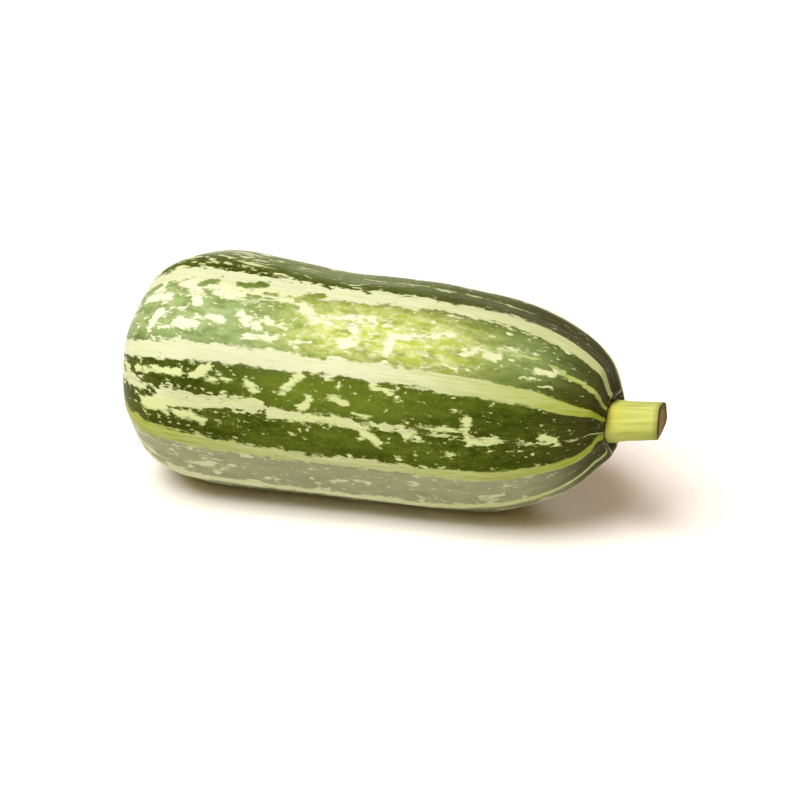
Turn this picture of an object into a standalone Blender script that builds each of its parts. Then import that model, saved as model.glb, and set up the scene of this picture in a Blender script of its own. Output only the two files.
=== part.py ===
"""A vegetable marrow lying on its side: the ribbed fruit and its short cut stalk.

Metres, +Z up. The fruit lies along X with its stalk towards +X. The origin is the middle of the
base of the whole marrow's box, so the surface that it lies on is Z = 0.
Angles round the fruit and the stalk are in degrees from -Y, upwards.
"""

import math

import bmesh
import bpy
from mathutils import Vector

MM = 0.001

# Fruit: the length between its poles, and its radius near the blossom, midway and at the shoulder
FRUIT_LENGTH = 248.5 * MM
BLOSSOM_RADIUS = 59.5 * MM
MIDDLE_RADIUS = 56 * MM
SHOULDER_RADIUS = 52 * MM

# Its round ends: the share of the length that each takes, and how square each is (2 is an ellipse)
BLOSSOM_END = 0.24
BLOSSOM_SQUARENESS = 2.8
STALK_END = 0.33
STALK_SQUARENESS = 2.02

# Its bend: a slight bow and a slight S to the side, and the rise of the stalk end
BOW = -7 * MM
WAVE = -17 * MM
STALK_END_RISE = 15 * MM
RISE_POWER = 2.8

# Its ribs, each under a pale stripe, and how deep the skin dips between them
RIB_ANGLES = (80, 34, -13.5, -44, -72, -108, -148, -192, -237)
RIB_TWIST = -5
DIP_AT_BLOSSOM = 0.018
DIP_AT_STALK = 0.050
CREST_HEIGHT = 0.5 * MM
CREST_WIDTH = 4.5

# The dimple round the stalk, and the small scar where the flower dropped off
RIM_RADIUS = 16.5 * MM
RIM_ROLL = 0.8 * MM
DIMPLE_DEPTH = 2.6 * MM
DIMPLE_DROP = 5 * MM
DROP_START = 0.955
SEAT_RADIUS = 11.2 * MM
SCAR_RADIUS = 4.5 * MM
SCAR_DEPTH = 0.9 * MM

# The rim stands lower on the side that faces -Y and a little upwards: by how much, the middle angle
# of that side, the cosines from it at which the lean starts and is full, and the radius it starts at
RIM_LEAN = 2.8 * MM
RIM_LEAN_TURN = 25
RIM_LEAN_NONE = -0.1
RIM_LEAN_FULL = 0.75
RIM_LEAN_START = 28 * MM

# How far the underside is pressed flat where the weight rests on it
PRESSED_HEIGHT = 2.4 * MM

# Stalk: its length, its thickness along it, its angles, the way it points and its slanting cut
STALK_LENGTH = 23.8 * MM
STALK_BASE_RADIUS = 10.0 * MM
STALK_WAIST_RADIUS = 9.1 * MM
STALK_TIP_RADIUS = 8.9 * MM
STALK_ANGLES = 5
STALK_ANGLE_DEPTH = 0.055
STALK_ANGLE_TURN = 50
STALK_CLIMB = 8.7
STALK_SWING = 3
CUT_SLANT = -0.08
CUT_UNDERSIDE = 2 * MM
CUT_EDGE = 0.9 * MM
PITH_DEPTH = 0.7 * MM
SEAT_GAP = 0.3 * MM

# How finely each piece is divided
FRUIT_SIDES = 84
BODY_RINGS = 42
SCAR_RINGS = 4
DIMPLE_RINGS = 5
STALK_SIDES = 40
STALK_RINGS = 8


def blend(start, end, at):
    """0 before start, 1 after end, and a smooth step between them."""
    share = min(max((at - start) / (end - start), 0.0), 1.0)
    return share * share * (3 - 2 * share)


def end_round(share, squareness):
    """How far a round end has opened: 0 at its pole, 1 where share reaches 1."""
    inward = 1 - min(max(share, 0.0), 1.0)
    return (1 - inward**squareness) ** (1 / squareness)


def end_share(opened, squareness):
    """The other way round: the share of a round end at which it has opened this far."""
    return 1 - (1 - opened**squareness) ** (1 / squareness)


def trunk_radius(along):
    """Radius without the round ends. along is 0 at the blossom's pole and 1 at the stalk's."""
    waist = (MIDDLE_RADIUS - BLOSSOM_RADIUS) * blend(0.12, 0.46, along)
    return BLOSSOM_RADIUS + waist + (SHOULDER_RADIUS - MIDDLE_RADIUS) * blend(0.46, 0.92, along)


def fruit_radius(along):
    """Radius of the fruit with its round ends."""
    blossom = end_round(along / BLOSSOM_END, BLOSSOM_SQUARENESS)
    return trunk_radius(along) * blossom * end_round((1 - along) / STALK_END, STALK_SQUARENESS)


def fruit_centre(along):
    """Middle of a cross-section: the underside is level until the stalk end rises."""
    from_middle = 2 * along - 1
    side = BOW * (from_middle**2 - 0.4) + WAVE * (from_middle**3 - from_middle)
    rise = STALK_END_RISE * max(from_middle, 0.0) ** RISE_POWER
    drop = DIMPLE_DROP * blend(DROP_START, 1, along)
    height = trunk_radius(along) + rise - drop - PRESSED_HEIGHT
    return Vector((FRUIT_LENGTH * (along - 0.5), side, height))


def ribbed(radius, angle, along, strength=1.0):
    """The radius at an angle, with its dips between the ribs and a low crest along each rib."""
    at = angle - RIB_TWIST * (along - 0.5)
    past = min((at - rib) % 360 for rib in RIB_ANGLES)
    short = min((rib - at) % 360 or 360 for rib in RIB_ANGLES)
    trough = (1 - math.cos(2 * math.pi * past / (past + short))) / 2
    crest = math.exp(-((min(past, short) / CREST_WIDTH) ** 2)) * CREST_HEIGHT / MIDDLE_RADIUS
    dip = DIP_AT_BLOSSOM + (DIP_AT_STALK - DIP_AT_BLOSSOM) * along
    return radius * (1 + strength * (crest - dip * trough))


def round_about(centre, radius, angle):
    """The point at an angle and a radius round a centre, in the plane square to X."""
    turn = math.radians(angle)
    return centre + Vector((0, -radius * math.cos(turn), radius * math.sin(turn)))


def rim_lean(radius, angle, along):
    """How far the skin by the stalk is set back towards the blossom, on one side of the rim."""
    if along < 0.5:
        return 0.0
    side = math.cos(math.radians(angle - RIM_LEAN_TURN))
    return RIM_LEAN * blend(RIM_LEAN_NONE, RIM_LEAN_FULL, side) * blend(RIM_LEAN_START, RIM_RADIUS, radius)


def skin_ring(centre, radius, along, strength=1.0):
    """One ring of points round the fruit, none lower than the surface that it rests on."""
    ring = []
    for side in range(FRUIT_SIDES):
        angle = 360 * side / FRUIT_SIDES
        point = round_about(centre, ribbed(radius, angle, along, strength), angle)
        point.x -= strength * rim_lean(radius, angle, along)
        point.z = max(point.z, 0.0)
        ring.append(point)
    return ring


def scar_rings():
    """Rings over the middle of the blossom end, where the flower left a small sunken scar."""
    rings = []
    for index in range(1, SCAR_RINGS + 1):
        radius = 2.4 * SCAR_RADIUS * index / SCAR_RINGS
        along = BLOSSOM_END * end_share(radius / BLOSSOM_RADIUS, BLOSSOM_SQUARENESS)
        centre = fruit_centre(along)
        centre.x += SCAR_DEPTH * math.exp(-((radius / SCAR_RADIUS) ** 4))
        rings.append(skin_ring(centre, radius, along, index / SCAR_RINGS))
    return rings


def body_rings():
    """Rings from the scar to the dimple's rim, closer together towards both round ends."""
    scar = end_share(2.4 * SCAR_RADIUS / BLOSSOM_RADIUS, BLOSSOM_SQUARENESS)
    rim = end_share(RIM_RADIUS / SHOULDER_RADIUS, STALK_SQUARENESS)
    first = math.acos(1 - 2 * BLOSSOM_END * scar)
    last = math.acos(2 * STALK_END * rim - 1)
    rings = []
    for index in range(1, BODY_RINGS + 1):
        along = (1 - math.cos(first + (last - first) * index / BODY_RINGS)) / 2
        rings.append(skin_ring(fruit_centre(along), fruit_radius(along), along))
    return rings, along


def dimple_rings(rim):
    """Rings from the dimple's rim down to its flat round floor, where the stalk sits."""
    rings = []
    for index in range(1, DIMPLE_RINGS + 1):
        down = index / DIMPLE_RINGS
        centre = fruit_centre(rim)
        centre.x += RIM_ROLL * math.sin(math.pi * down) - DIMPLE_DEPTH * blend(0, 1, down)
        radius = RIM_RADIUS + (SEAT_RADIUS - RIM_RADIUS) * down
        rings.append(skin_ring(centre, radius, rim, 1 - down))
    rings.append(skin_ring(centre, SEAT_RADIUS / 2, rim, 0))
    return rings, centre


def fruit_surface():
    """All rings of the fruit, its two end points, and the middle of the stalk's seat."""
    body, rim = body_rings()
    dimple, seat = dimple_rings(rim)
    scar = fruit_centre(0) + Vector((SCAR_DEPTH, 0, 0))
    return scar_rings() + body + dimple, (scar, seat), seat


def stalk_radius(along, angle):
    """Radius of the stalk: flared where it meets the fruit, with five rounded angles."""
    flare = (STALK_BASE_RADIUS - STALK_WAIST_RADIUS) * (1 - blend(0, 0.45, along))
    tip = (STALK_TIP_RADIUS - STALK_WAIST_RADIUS) * blend(0.5, 1, along)
    lobe = math.cos(math.radians(STALK_ANGLES * angle + STALK_ANGLE_TURN))
    return (STALK_WAIST_RADIUS + flare + tip) * (1 + STALK_ANGLE_DEPTH * lobe)


def cut_offset(height):
    """How far the cut end stands forward at a height above its middle: least at its underside."""
    low = max(-height / STALK_TIP_RADIUS, 0.0)
    return CUT_SLANT * height - CUT_UNDERSIDE * low**2


def stalk_ring(base, along, share, forward=0.0):
    """One ring of the stalk, share of its full thickness, slanting more the nearer the cut."""
    climb = math.tan(math.radians(STALK_CLIMB))
    swing = math.tan(math.radians(STALK_SWING))
    reach = STALK_LENGTH * along
    centre = base + Vector((reach, reach * swing, reach * climb))
    ring = []
    for side in range(STALK_SIDES):
        angle = 360 * side / STALK_SIDES
        point = round_about(centre, share * stalk_radius(along, angle), angle)
        point.x += forward + along**2 * cut_offset(point.z - centre.z)
        ring.append(point)
    return ring, centre


def stalk_surface(seat):
    """All rings of the stalk from its foot to its cut face, and its two end points."""
    foot = seat + Vector((SEAT_GAP, 0, 0))
    rings = [stalk_ring(foot, 0, 0.5)[0]]
    for index in range(STALK_RINGS + 1):
        rings.append(stalk_ring(foot, index / STALK_RINGS, 1)[0])
    edge = 1 - CUT_EDGE / STALK_TIP_RADIUS
    rings.append(stalk_ring(foot, 1, 1 - 0.3 * (1 - edge), 0.6 * CUT_EDGE)[0])
    rings.append(stalk_ring(foot, 1, edge, 0.8 * CUT_EDGE)[0])
    face, centre = stalk_ring(foot, 1, 0.5, 0.8 * CUT_EDGE - 0.5 * PITH_DEPTH)
    rings.append(face)
    pith = centre + Vector((0.8 * CUT_EDGE - PITH_DEPTH, 0, 0))
    return rings, (foot, pith)


def centre_on_base(surfaces):
    """Move all points so that the middle of the whole marrow's box is over the origin."""
    points = [point for rings, _ in surfaces for ring in rings for point in ring]
    for axis in (0, 1):
        low = min(point[axis] for point in points)
        high = max(point[axis] for point in points)
        for rings, ends in surfaces:
            for ring in rings:
                for point in ring:
                    point[axis] -= (low + high) / 2
            for end in ends:
                end[axis] -= (low + high) / 2


def make_material(name, colour, roughness):
    """A plain Principled material."""
    material = bpy.data.materials.new(name)
    material.use_nodes = True
    shader = material.node_tree.nodes["Principled BSDF"]
    shader.inputs["Base Color"].default_value = (*colour, 1)
    shader.inputs["Roughness"].default_value = roughness
    shader.inputs["Metallic"].default_value = 0
    return material


def make_piece(name, rings, ends, material):
    """A closed mesh through the rings, with a fan of triangles at each end, as a named object."""
    body = bmesh.new()
    loops = [[body.verts.new(point) for point in ring] for ring in rings]
    first, last = (body.verts.new(end) for end in ends)
    count = len(loops[0])
    for here, there in zip(loops, loops[1:]):
        for side in range(count):
            after = (side + 1) % count
            body.faces.new((here[side], here[after], there[after], there[side]))
    for side in range(count):
        after = (side + 1) % count
        body.faces.new((first, loops[0][after], loops[0][side]))
        body.faces.new((last, loops[-1][side], loops[-1][after]))
    bmesh.ops.recalc_face_normals(body, faces=body.faces[:])
    mesh = bpy.data.meshes.new(name)
    body.to_mesh(mesh)
    body.free()
    mesh.shade_smooth()
    mesh.set_sharp_from_angle(angle=math.radians(50))
    mesh.materials.append(material)
    piece = bpy.data.objects.new(name, mesh)
    bpy.context.scene.collection.objects.link(piece)
    return piece


def clear_scene():
    """Remove every object that the scene starts with."""
    for item in list(bpy.data.objects):
        bpy.data.objects.remove(item, do_unlink=True)


def main():
    """Build the fruit and the stalk that sits in its dimple."""
    clear_scene()
    fruit_mesh, fruit_ends, seat = fruit_surface()
    stalk_mesh, stalk_ends = stalk_surface(seat.copy())
    centre_on_base([(fruit_mesh, fruit_ends), (stalk_mesh, stalk_ends)])
    skin = make_material("green_skin", (0.10, 0.15, 0.02), 0.35)
    flesh = make_material("pale_stalk", (0.62, 0.64, 0.20), 0.55)
    make_piece("fruit", fruit_mesh, fruit_ends, skin)
    make_piece("stalk", stalk_mesh, stalk_ends, flesh)


main()
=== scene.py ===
"""A vegetable marrow lying on its side: striped and flecked skin, a short cut stalk and a plain stage.

Metres, +Z up. The fruit lies along X with its stalk towards +X, on the surface Z = 0.
Angles round the fruit and the stalk are in degrees from -Y, upwards.
along is 0 at the blossom's pole and 1 at the stalk's.
"""

import math

import bpy
import numpy as np
from bpy.props import FloatProperty, FloatVectorProperty, PointerProperty
from mathutils import Matrix, Vector


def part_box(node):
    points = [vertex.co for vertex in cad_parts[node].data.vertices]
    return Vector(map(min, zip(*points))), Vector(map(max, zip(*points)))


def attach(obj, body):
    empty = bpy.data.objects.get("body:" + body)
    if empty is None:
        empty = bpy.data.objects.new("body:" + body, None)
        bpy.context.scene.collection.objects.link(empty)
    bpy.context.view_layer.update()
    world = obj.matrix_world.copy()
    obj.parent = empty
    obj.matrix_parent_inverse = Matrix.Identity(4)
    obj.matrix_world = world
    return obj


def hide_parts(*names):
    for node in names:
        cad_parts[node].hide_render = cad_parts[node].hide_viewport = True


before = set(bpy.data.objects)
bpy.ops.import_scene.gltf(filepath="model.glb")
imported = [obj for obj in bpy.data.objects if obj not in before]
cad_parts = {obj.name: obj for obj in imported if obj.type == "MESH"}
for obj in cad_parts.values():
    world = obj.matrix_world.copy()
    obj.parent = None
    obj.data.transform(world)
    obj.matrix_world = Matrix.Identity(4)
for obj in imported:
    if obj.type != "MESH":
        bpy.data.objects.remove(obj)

bl_info = {
    "name": "Vegetable Marrow",
    "version": (1, 0, 0),
    "blender": (4, 5, 0),
    "location": "View3D > Sidebar > Marrow",
    "description": "Makes a striped vegetable marrow and a plain stage for it",
    "category": "Add Mesh",
}

MM = 0.001

# How finely each piece is divided
FRUIT_SIDES = 280
SCAR_RINGS = 14
BODY_RINGS = 292
DIMPLE_RINGS = 24
STALK_SIDES = 200
STALK_RINGS = 90
CUT_EDGE_RINGS = 8
CUT_FACE_RINGS = 25

# Fruit: its round ends, the share of the length that each takes, and how square each is
BLOSSOM_END = 0.24
BLOSSOM_SQUARENESS = 2.8
STALK_END = 0.33
STALK_SQUARENESS = 2.02

# Its middle: where along its radius changes to the waist and to the shoulder, how the stalk end
# rises, where the bow crosses X, its ribs, and how far it is pressed flat underneath
TO_WAIST = (0.12, 0.46)
TO_SHOULDER = (0.46, 0.92)
RISE_POWER = 2.8
BOW_CROSSING = 0.4
RIB_ANGLES = (80, 34, -13.5, -44, -72, -108, -148, -192, -237)
CREST_WIDTH = 4.5
PRESSED_HEIGHT = 2.4 * MM

# The dimple round the stalk, and the small scar where the flower dropped off
RIM_RADIUS = 16.5 * MM
RIM_ROLL = 0.8 * MM
DIMPLE_DEPTH = 2.6 * MM
DIMPLE_DROP = 5 * MM
DROP_START = 0.955
SEAT_RADIUS = 11.2 * MM
SCAR_RADIUS = 4.5 * MM
SCAR_DEPTH = 0.9 * MM
SCAR_REACH = 2.4 * SCAR_RADIUS

# The rim stands lower on the side that faces -Y and a little upwards: by how much, the middle angle
# of that side, the cosines from it at which the lean starts and is full, and the radius it starts at
RIM_LEAN = 2.8 * MM
RIM_LEAN_TURN = 25
RIM_LEAN_COSINES = (-0.1, 0.75)
RIM_LEAN_START = 28 * MM

# Stalk: its angles, its flare, and its slanting cut with a dried groove round a sunken pith
STALK_ANGLES = 5
STALK_ANGLE_DEPTH = 0.055
STALK_ANGLE_TURN = 50
FLARE_END = 0.45
TIP_START = 0.5
CUT_SLANT = -0.08
CUT_UNDERSIDE = 2 * MM
CUT_EDGE = 0.9 * MM
CUT_STEP = 0.8 * CUT_EDGE
CUT_INNERMOST = 0.04
PITH_DEPTH = 0.7 * MM
PITH_SHARE = 0.25
CUT_GROOVE = 0.25 * MM
CUT_GROOVE_PLACE = 0.72
CUT_GROOVE_WIDTH = 0.05
SEAT_GAP = 0.3 * MM

# Soft random forms: shortest and longest wave in mm, how many waves, and the seed. Near the
# fruit's poles the lumps are lower, where its radius is under the one named here.
LUMPS = (22, 60, 24, 5)
LUMPS_FADE = 20 * MM
WANDERING = (18, 40, 10, 9)
STALK_RIDGES = (1.6, 6, 40, 3)

# The furrows round the stalk: where they begin and are full, how far they wander in degrees, and
# in each of two sets their share, how many run round the fruit, and their start in radians
FURROWS_ALONG = (0.72, 0.97)
FURROWS_WANDER = 2.5
FURROWS = ((0.6, 47, 0), (0.4, 29, 1))

# Markings are laid out on straight tubes, in mm, so they draw together at the fruit's poles. The
# stalk's fine ridges are laid out on a much shorter tube, so they hardly change along it.
TUBE_RADIUS = 56
STALK_TUBE_RADIUS = 9
STALK_TUBE_LENGTH = 22
STALK_RIDGE_LENGTH = 1.4

# How far inside a stripe or stroke a point lies when none is near, in mm
FAR_OUTSIDE = -1e3

# Where along the fruit a winding stripe's angles, and every stripe's widths and tones, are given
WINDING_PLACES = (0.1, 0.3, 0.5, 0.7, 0.85, 0.94, 0.965, 0.98)
WIDTH_PLACES = (0, 0.5, 0.87, 0.97)
TONE_PLACES = (0, 0.5, 1)

# Towards the stalk the stripes' edges are neater
NEATER_SHARE = 0.6
NEATER_ALONG = (0.6, 0.95)

# Stripes: angle, or its angles at those places; half widths in mm; how ragged the edge is; and how
# olive the stripe is at the blossom, midway and at the stalk
STRIPES = (
    ((70, 76, 77, 79, 82, 79, 79, 80), (4.8, 4.2, 5.4, 5.2), 1.7, (0.05, 0.05, 0.55)),
    ((27, 33, 35, 35, 35, 29, 28, 30), (4.4, 4.2, 4.9, 3.4), 0.9, (0.05, 0.0, 1.0)),
    ((-13, -13, -13, -13, -14, -16, -12, -2), (5.0, 2.1, 3.8, 5.0), 0.9, (0.95, 0.4, 0.95)),
    ((-42, -42, -42, -42, -43, -44, -42, -44), (2.2, 1.9, 2.4, 2.4), 0.9, (0.2, 0.2, 0.6)),
    (-72, (3.6, 3.2, 3.4, 2.5), 1.2, (0.3, 0.3, 0.5)),
    (-108, (4.0, 3.4, 3.6, 2.7), 1.4, (0.2, 0.2, 0.5)),
    (-148, (4.6, 4.0, 4.0, 3.0), 1.4, (0.1, 0.15, 0.6)),
    (-192, (4.4, 4.2, 4.2, 3.2), 1.5, (0.1, 0.1, 0.6)),
    (-237, (4.6, 4.0, 4.2, 3.2), 1.7, (0.1, 0.1, 0.5)),
    ((9, 9, 9, 9, 7, 4, 5, 6), (3.6, 0.9, 0.3, 0.4), 2.2, (0.2, 0.3, 0.6)),
    ((60, 60, 60, 60, 61, 54, 51, 50), (-3.0, -0.8, 0.4, 3.4), 2.8, (0.2, 0.4, 0.8)),
    (103, (-1.0, 0.2, -0.6, -2.0), 1.8, (0.2, 0.3, 0.5)),
    (146, (1.4, 0.2, 0.8, 0.6), 2.0, (0.2, 0.3, 0.5)),
    (190, (-0.6, 0.6, 0.4, 0.3), 2.0, (0.2, 0.3, 0.5)),
    (232, (1.6, 0.0, 0.6, 0.4), 2.0, (0.2, 0.3, 0.5)),
)

# The largest blotches on the side that shows most, as short strokes: along and angle of one end and
# of the other, and half width in mm. All smaller flecks are random.
BLOTCHES = (
    # the top stripe, broad towards the blossom
    (0.07, 69, 0.17, 71, 3.2),
    (0.15, 66, 0.30, 72, 3.6),
    (0.22, 63, 0.36, 67, 2.2),
    (0.30, 72, 0.42, 74, 3.0),
    # below it
    (0.07, 56, 0.13, 57, 2.3),
    (0.11, 41, 0.12, 47, 2.8),
    (0.16, 42, 0.20, 44, 2.3),
    (0.20, 48, 0.25, 48, 1.8),
    (0.18, 61, 0.19, 55, 2.1),
    (0.28, 54, 0.32, 49, 1.8),
    (0.33, 54, 0.34, 52, 1.6),
    (0.30, 42, 0.36, 45, 1.5),
    (0.38, 66, 0.42, 58, 2.7),
    (0.42, 60, 0.50, 63, 1.5),
    (0.49, 58, 0.50, 54, 1.9),
    (0.52, 64, 0.53, 61, 1.7),
    (0.48, 47, 0.50, 47, 1.8),
    (0.57, 46, 0.57, 54, 2.0),
    (0.57, 55, 0.68, 62, 1.6),
    (0.71, 52, 0.74, 58, 2.0),
    (0.75, 55, 0.77, 55, 2.0),
    (0.77, 61, 0.82, 64, 1.4),
    (0.85, 54, 0.87, 54, 2.4),
    (0.83, 47, 0.84, 47, 1.5),
    # between the second stripe and the third
    (0.09, 17, 0.19, 20, 1.7),
    (0.22, 20, 0.25, 26, 1.5),
    (0.25, 19, 0.29, 21, 1.4),
    (0.32, 23, 0.34, 17, 1.6),
    (0.39, 21, 0.42, 28, 1.9),
    (0.43, 13, 0.44, 17, 2.1),
    (0.48, 20, 0.51, 18, 1.3),
    (0.56, 28, 0.60, 27, 1.2),
    (0.74, 15, 0.74, 19, 1.7),
    # the broken third stripe
    (0.12, 1, 0.20, 6, 3.5),
    (0.20, 5, 0.35, 12, 2.3),
    (0.19, 0, 0.24, -1, 2.0),
    (0.37, 8, 0.52, 9, 2.6),
    (0.53, 13, 0.56, 12, 1.2),
    (0.52, 7, 0.59, 8, 1.8),
    (0.55, 4, 0.58, -1, 1.6),
    (0.59, 9, 0.73, 12, 0.9),
    (0.63, 6, 0.65, 5, 1.9),
    (0.74, 11, 0.75, 6, 1.7),
    (0.75, 6, 0.79, 8, 1.9),
    (0.82, 7, 0.91, 4, 0.7),
    (0.88, 9, 0.90, 6, 2.4),
)

# Strokes where green shows through the top stripe
GAPS = (
    (0.06, 42, 0.10, 49, 1.6),
    (0.06, 62, 0.09, 65, 1.8),
    (0.14, 67, 0.16, 68, 0.8),
    (0.18, 66, 0.21, 70, 1.6),
    (0.25, 70, 0.30, 73, 1.6),
    (0.28, 64, 0.33, 66, 0.8),
    (0.38, 70, 0.41, 73, 1.5),
)

# Soft patches, some of skin colour and some of painted light: strength, middle angle and spread
# in degrees, middle and reach along the fruit, and how squarely the patch ends
THICKER_FLECKS = (
    (0.42, 54, 19, 0.20, 0.26, 4),
    (0.10, 54, 15, 0.56, 0.17, 4),
    (0.12, 95, 20, 0.18, 0.24, 4),
    (0.20, 57, 16, 0.80, 0.12, 2),
    (0.40, -58, 14, 0.50, 0.50, 4),
    (-0.45, 112, 26, 0.66, 0.38, 4),
)
LIGHTER_GREEN = (
    (0.62, 56, 18, 0.45, 0.42, 4),
    (0.55, 22, 11, 0.50, 0.20, 2),
    (0.25, 110, 25, 0.40, 0.40, 2),
    (0.22, 0, 14, 0.50, 0.20, 2),
)
# Yellow-green skin on the upper side, with a painted highlight from the light above on it
YELLOW_AND_HIGHLIGHT_PATCH = ((1.0, 55, 17, 0.55, 0.19, 4),)
# Painted sheen, the reflection of the light above: by the blossom end, along the top and on the
# shoulder by the stalk
SHEEN_PATCHES = (
    (1.0, 50, 19, 0.17, 0.24, 4),
    (0.3, 104, 16, 0.25, 0.32, 4),
    (0.6, 60, 15, 0.80, 0.13, 2),
)
DRAWN_PATCH = ((1.0, 32, 45, 0.50, 0.46, 6),)
RIPE_PATCH = ((1.0, 45, 50, 0.12, 0.22, 2),)
UNDER_TIP_PATCH = ((1.0, -30, 38, 0.85, 0.28, 2),)

# How thickly the flecks lie along the fruit, and how far the drawn blotches thin them out
FLECK_PLACES = (0, 0.15, 0.4, 0.6, 0.88, 1)
FLECK_DENSITY = (1.0, 0.95, 0.80, 0.75, 0.60, 0.1)
THINNED_BY_BLOTCHES = 0.38
LEAST_LIGHTER_GREEN = 0.05

# The grey underside, partly waxy skin and partly a painted reflection of the pale floor: its middle
# and edges in degrees, and where along it thins out
BLOOM_AND_REFLECTION_MIDDLE = -58
BLOOM_AND_REFLECTION_EDGES = (45, 41)
BLOOM_AND_REFLECTION_THINS = (0.90, 0.965)
BLOOM_AND_REFLECTION_THINNED = 0.75

# Darker towards the stalk, and painted shade on the far shoulder, which faces away from the light,
# and in the seam at the stalk's foot
NEAR_STALK = (0.82, 0.975)
SHOULDER_SHADE_EDGES = ((88, 96), (160, 135))
SHOULDER_SHADE_ALONG = (0.66, 0.86)
SEAM_SHADE_ALONG = (0.9825, 0.9862)

# The brown of the scar fades out between these distances from the blossom's pole, in mm
SCAR_EDGE = (3.6, 6.0)

# Where the stalk's tip starts to be brown, and how far in on the cut, from 0 at its edge to 1 where
# this share of its radius is passed, the pith starts and is full
NEAR_TIP = 0.86
CUT_MIDDLE = 0.9
PITH_EDGE = (0.22, 0.48)

# Random marks: length and width in mm, detail, roughness, and a shift of the pattern, which moves
# it this far in each direction
SHIFT_SHARES = (1, 1.7, 0.6)
TEARS = (13, 4.0, 2.5, 0.5, 0.0)
TEETH = (4.2, 1.7, 3, 0.6, 4.0)
BROAD_SHADES = (38, 11, 2, 0.5, 3.0)
CLOUDS = (7, 3.2, 3, 0.6, 29.0)
MOTTLE = (14, 1.2, 3, 0.6, 19.0)
GRAIN = (1.6, 1.0, 3, 0.6, 23.0)
FLESH_GRAIN = (12, 0.5, 3, 0.6, 2.0)

# Marks with an edge: the marks, where in them the edge starts and ends, and its value before and
# after it
PATCHES = ((11, 5, 3, 0.6, 5.0), (0.34, 0.56, 0.5, 1.0))
# Paler marks in that patch, where the painted highlight is brightest
PALER_PATCH_MARKS = ((9, 3.6, 4, 0.6, 31.0), (0.40, 0.58, 0.0, 1.0))
# Painted highlight specks in the yellow-green patch
HIGHLIGHT_SPECKS = ((4.2, 2.4, 3, 0.6, 37.0), (0.50, 0.62, 0.0, 0.5))
STIPPLE = ((1.1, 0.6, 2, 0.7, 11.0), (0.50, 0.72, 0.0, 0.14))
STREAKS = ((30, 1.0, 2, 0.6, 17.0), (0.42, 0.62, 0.0, 0.05))
FLESH_STREAKS = ((24, 0.9, 3, 0.6, 0.0), (0.46, 0.66, 0.0, 0.4))
FLESH_BANDS = ((40, 4.0, 2, 0.5, 5.0), (0.42, 0.62, 0.0, 0.24))
FIBRES = ((24, 1.3, 3, 0.6, 9.0), (0.40, 0.64, 0.0, 0.4))

# Flecks: their marks, and the most and the least of the skin that they may take
LARGE_FLECKS = ((18, 6.5, 4, 0.52, 1.0), 0.43, 0.24)
MIDDLE_FLECKS = ((8.5, 4.8, 4, 0.52, 7.0), 0.435, 0.30)
SMALL_FLECKS = ((3.8, 2.3, 4, 0.52, 13.0), 0.40, 0.345)
FLECK_SOFTNESS = 0.08
SMALL_FLECKS_SHOW = 0.8

# Where strokes are drawn, random flecks are fewer; beside a stripe, within this band in mm, more
LARGE_FLECKS_CLEARED = 0.9
MIDDLE_FLECKS_CLEARED = 0.08
BESIDE_STRIPES = (-4.0, -0.2)
MORE_BESIDE_STRIPES = 0.15

# Edges of stripes and strokes, in mm: how soft they are, and how far they are torn
EDGE_SOFTNESS = 0.75
TORN_BY = 6.5

# How strongly each shows in the skin
BROAD_SHARE = 0.6
CLOUD_SHARE = 0.7
# Painted light among these: the sheen's clouds, the floor's reflection in the underside, the shade on
# the far shoulder and in the seam, and the flecks in that reflection and highlight
SHEEN_CLOUDS = 1.5
BLOOM_AND_REFLECTION_SHARE = 0.72
BLOOM_AND_REFLECTION_CLOUDS = 0.5
DARK_NEAR_STALK = 0.75
PAINTED_SHOULDER_SHADE = 0.85
PAINTED_SEAM_SHADE = 0.85
MOTTLE_SHARE = 0.9
OLIVE_FLECKS = 0.35
FLECKS_IN_BLOOM_AND_REFLECTION = 0.8
HIGHLIT_FLECKS = 0.85

# And in the stalk
RIPE_SHARE = 0.65
UNDER_TIP_SHARE = 0.55
BROWNED_TIP = 0.45

# Surfaces: roughness, gloss and strength of the fine bump
SKIN_SURFACE = (0.30, 0.025, 0.18)
STALK_SURFACE = (0.5, 0.05, 0.25)
FLOOR_ROUGHNESS = 0.9
FLOOR_GLOSS = 0.1
BUMP_HEIGHT = 0.2 * MM

# The map for baking keeps this margin
MAP_MARGIN = 0.01

# The floor: half its width, how far it lies below the fruit, and where and how much it glows
FLOOR_HALF = 1.2
FLOOR_DROP = 0.05 * MM
GLOW_START = 0.45
GLOW = 0.6

# The sky: the heights at which it leaves the horizon's colour and has its own
SKY_RISE = (0.03, 0.16)

# Lamps: place, the point that it faces, and width
KEY_LIGHT = ((-0.42, -1.02, 2.05), (0, 0, 0.05), 1.5)
WASH_LIGHT = ((0.1, 2.0, 1.3), (0, 1.4, 0), 1.2)

# The photograph's view: how far the camera turns and tilts, its distance, the point it turns
# about, its small shift from there, and its lens
VIEW_TURN = 20.893
VIEW_TILT = 26.0
VIEW_DISTANCE = 0.92568
VIEW_AIM = (0.0, 0.0, 0.056)
VIEW_RIGHT = 0.00286
VIEW_UP = -0.0040
LENS = 85.5
SENSOR = 36


def size(name, about, value):
    """A length that a user may change, in metres."""
    return FloatProperty(name=name, description=about, default=value, unit="LENGTH", min=0, precision=4)


def sway(name, about, value):
    """A length that may also be negative."""
    return FloatProperty(name=name, description=about, default=value, unit="LENGTH", precision=4)


def colour(name, about, value):
    """A colour that a user may change."""
    return FloatVectorProperty(
        name=name, description=about, default=value, subtype="COLOR", size=3, min=0, max=1
    )


def lamp_power(name, about, value):
    """The power of a lamp."""
    return FloatProperty(name=name, description=about, default=value, unit="POWER", min=0)


def number(name, about, value):
    """A plain number, or an angle in degrees."""
    return FloatProperty(name=name, description=about, default=value, precision=3)


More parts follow.
